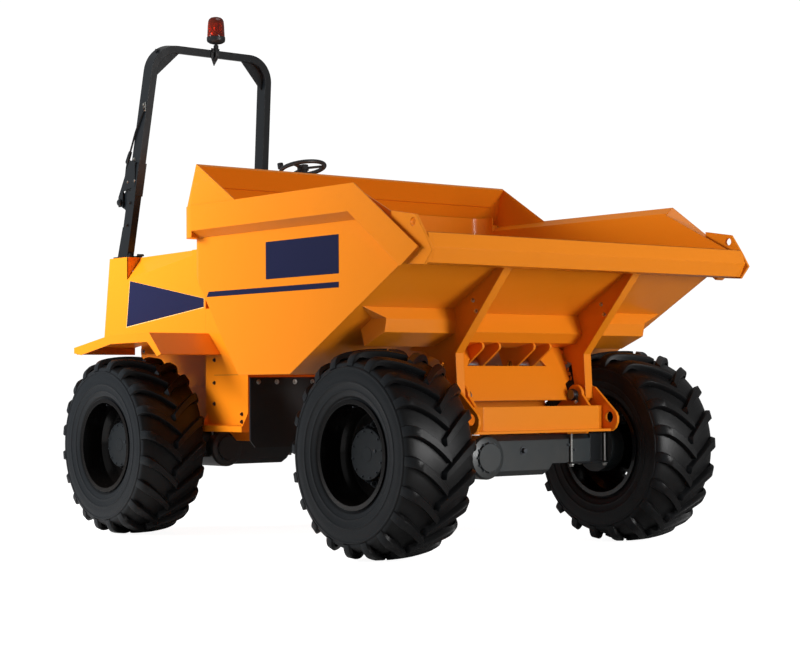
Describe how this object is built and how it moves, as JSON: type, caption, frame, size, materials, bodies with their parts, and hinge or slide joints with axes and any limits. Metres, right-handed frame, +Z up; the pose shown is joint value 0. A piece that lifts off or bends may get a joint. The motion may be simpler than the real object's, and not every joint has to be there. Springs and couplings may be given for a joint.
{
  "type": "site dumper",
  "caption": "Articulated site dumper with forward tipping skip, rear engine, open operator station, folding roll bar and amber beacon.",
  "frame": {"origin": "on the ground under the middle of the machine's bounding box", "axes": "+X forward over the skip's lip, +Y to the driver's left, +Z up"},
  "size_m": [4.39, 2.5, 3.5908],
  "materials": {
    "orange_paint": "gloss",
    "black_paint": "satin",
    "rim_paint": "gloss",
    "slate_paint": "satin",
    "tyre": "matt",
    "flap_rubber": "matt",
    "seat_cover": "satin",
    "black_plastic": "satin",
    "beacon_lens": "clear",
    "cast_iron": "rough",
    "rod_chrome": "polished",
    "pin_steel": "satin"
  },
  "bodies": {
    "rear_frame": {"rear_chassis": "orange_paint", "counterweight": "orange_paint", "engine_block": "cast_iron", "body_side_right": "orange_paint", "body_side_left": "orange_paint", "deck": "orange_paint", "seat": "seat_cover", "console": "black_plastic", "steering_wheel": "black_plastic", "fender_right": "orange_paint", "fender_left": "orange_paint", "rops_post_right": "black_paint", "rops_post_left": "black_paint", "rear_axle": "slate_paint"},
    "bonnet": {"bonnet": "orange_paint"},
    "rops_hoop": {"rops_hoop": "black_paint", "beacon": "beacon_lens"},
    "centre_link": {"centre_link": "orange_paint"},
    "front_frame": {"front_chassis": "orange_paint", "front_axle": "slate_paint", "mudflap_right": "flap_rubber", "mudflap_left": "flap_rubber", "pivot_pins": "pin_steel"},
    "skip": {"skip_floor": "orange_paint", "skip_rear_wall": "orange_paint", "skip_side_right": "orange_paint", "skip_side_left": "orange_paint", "skip_rim": "orange_paint", "skip_arm_right": "orange_paint", "skip_arm_left": "orange_paint", "skip_cross_plate": "orange_paint"},
    "tip_barrel_right": {"tip_barrel_right": "black_paint"},
    "tip_rod_right": {"tip_rod_right": "rod_chrome"},
    "tip_barrel_left": {"tip_barrel_left": "black_paint"},
    "tip_rod_left": {"tip_rod_left": "rod_chrome"},
    "steer_barrel": {"steer_barrel": "black_paint"},
    "steer_rod": {"steer_rod": "rod_chrome"},
    "wheel_front_right": {"tyre_front_right": "tyre", "rim_front_right": "rim_paint"},
    "wheel_front_left": {"tyre_front_left": "tyre", "rim_front_left": "rim_paint"},
    "wheel_rear_right": {"tyre_rear_right": "tyre", "rim_rear_right": "rim_paint"},
    "wheel_rear_left": {"tyre_rear_left": "tyre", "rim_rear_left": "rim_paint"}
  },
  "joints": [
    {"name": "oscillation", "type": "hinge", "parent": "rear_frame", "child": "centre_link", "pos_m": [-0.195, 0, 0.775], "axis": [1, 0, 0], "range_deg": [-10, 10]},
    {"name": "articulation", "type": "hinge", "parent": "centre_link", "child": "front_frame", "pos_m": [0.105, 0, 0.775], "axis": [0, 0, 1], "range_deg": [-27, 27]},
    {"name": "skip_tip", "type": "hinge", "parent": "front_frame", "child": "skip", "pos_m": [1.52, 0, 0.895], "axis": [0, 1, 0], "range_deg": [0, 70]},
    {"name": "bonnet_hinge", "type": "hinge", "parent": "rear_frame", "child": "bonnet", "pos_m": [-1.612, 0, 1.866], "axis": [0, 1, 0], "range_deg": [0, 75]},
    {"name": "rops_fold", "type": "hinge", "parent": "rear_frame", "child": "rops_hoop", "pos_m": [-2.015, 0, 2.262], "axis": [0, -1, 0], "range_deg": [0, 105]},
    {"name": "tip_barrel_pivot_right", "type": "hinge", "parent": "front_frame", "child": "tip_barrel_right", "pos_m": [0.585, -0.2, 0.77], "axis": [0, 1, 0], "range_deg": [-3, 6]},
    {"name": "tip_rod_slide_right", "type": "slide", "parent": "tip_barrel_right", "child": "tip_rod_right", "axis": [0.9168, 0, 0.3994], "range_m": [0, 0.344]},
    {"name": "tip_barrel_pivot_left", "type": "hinge", "parent": "front_frame", "child": "tip_barrel_left", "pos_m": [0.585, 0.2, 0.77], "axis": [0, 1, 0], "range_deg": [-3, 6]},
    {"name": "tip_rod_slide_left", "type": "slide", "parent": "tip_barrel_left", "child": "tip_rod_left", "axis": [0.9168, 0, 0.3994], "range_m": [0, 0.344]},
    {"name": "steer_barrel_pivot", "type": "hinge", "parent": "centre_link", "child": "steer_barrel", "pos_m": [-0.085, 0.23, 0.775], "axis": [0, 0, 1], "range_deg": [-20, 20]},
    {"name": "steer_rod_slide", "type": "slide", "parent": "steer_barrel", "child": "steer_rod", "axis": [1, 0, 0], "range_m": [-0.12, 0.12]},
    {"name": "wheel_spin_front_right", "type": "hinge", "parent": "front_frame", "child": "wheel_front_right", "pos_m": [1.422, -0.95, 0.58], "axis": [0, 1, 0], "continuous": true},
    {"name": "wheel_spin_front_left", "type": "hinge", "parent": "front_frame", "child": "wheel_front_left", "pos_m": [1.422, 0.95, 0.58], "axis": [0, 1, 0], "continuous": true},
    {"name": "wheel_spin_rear_right", "type": "hinge", "parent": "rear_frame", "child": "wheel_rear_right", "pos_m": [-1.212, -0.95, 0.58], "axis": [0, 1, 0], "continuous": true},
    {"name": "wheel_spin_rear_left", "type": "hinge", "parent": "rear_frame", "child": "wheel_rear_left", "pos_m": [-1.212, 0.95, 0.58], "axis": [0, 1, 0], "continuous": true}
  ],
  "couplings": [
    {"joint": "tip_barrel_pivot_right", "follows": "skip_tip", "ratio": 0.026346},
    {"joint": "tip_rod_slide_right", "follows": "skip_tip", "m_per_rad": 0.27689},
    {"joint": "tip_barrel_pivot_left", "follows": "skip_tip", "ratio": 0.026346},
    {"joint": "tip_rod_slide_left", "follows": "skip_tip", "m_per_rad": 0.27689},
    {"joint": "steer_barrel_pivot", "follows": "articulation", "ratio": 0.62034},
    {"joint": "steer_rod_slide", "follows": "articulation", "m_per_rad": -0.22753}
  ]
}
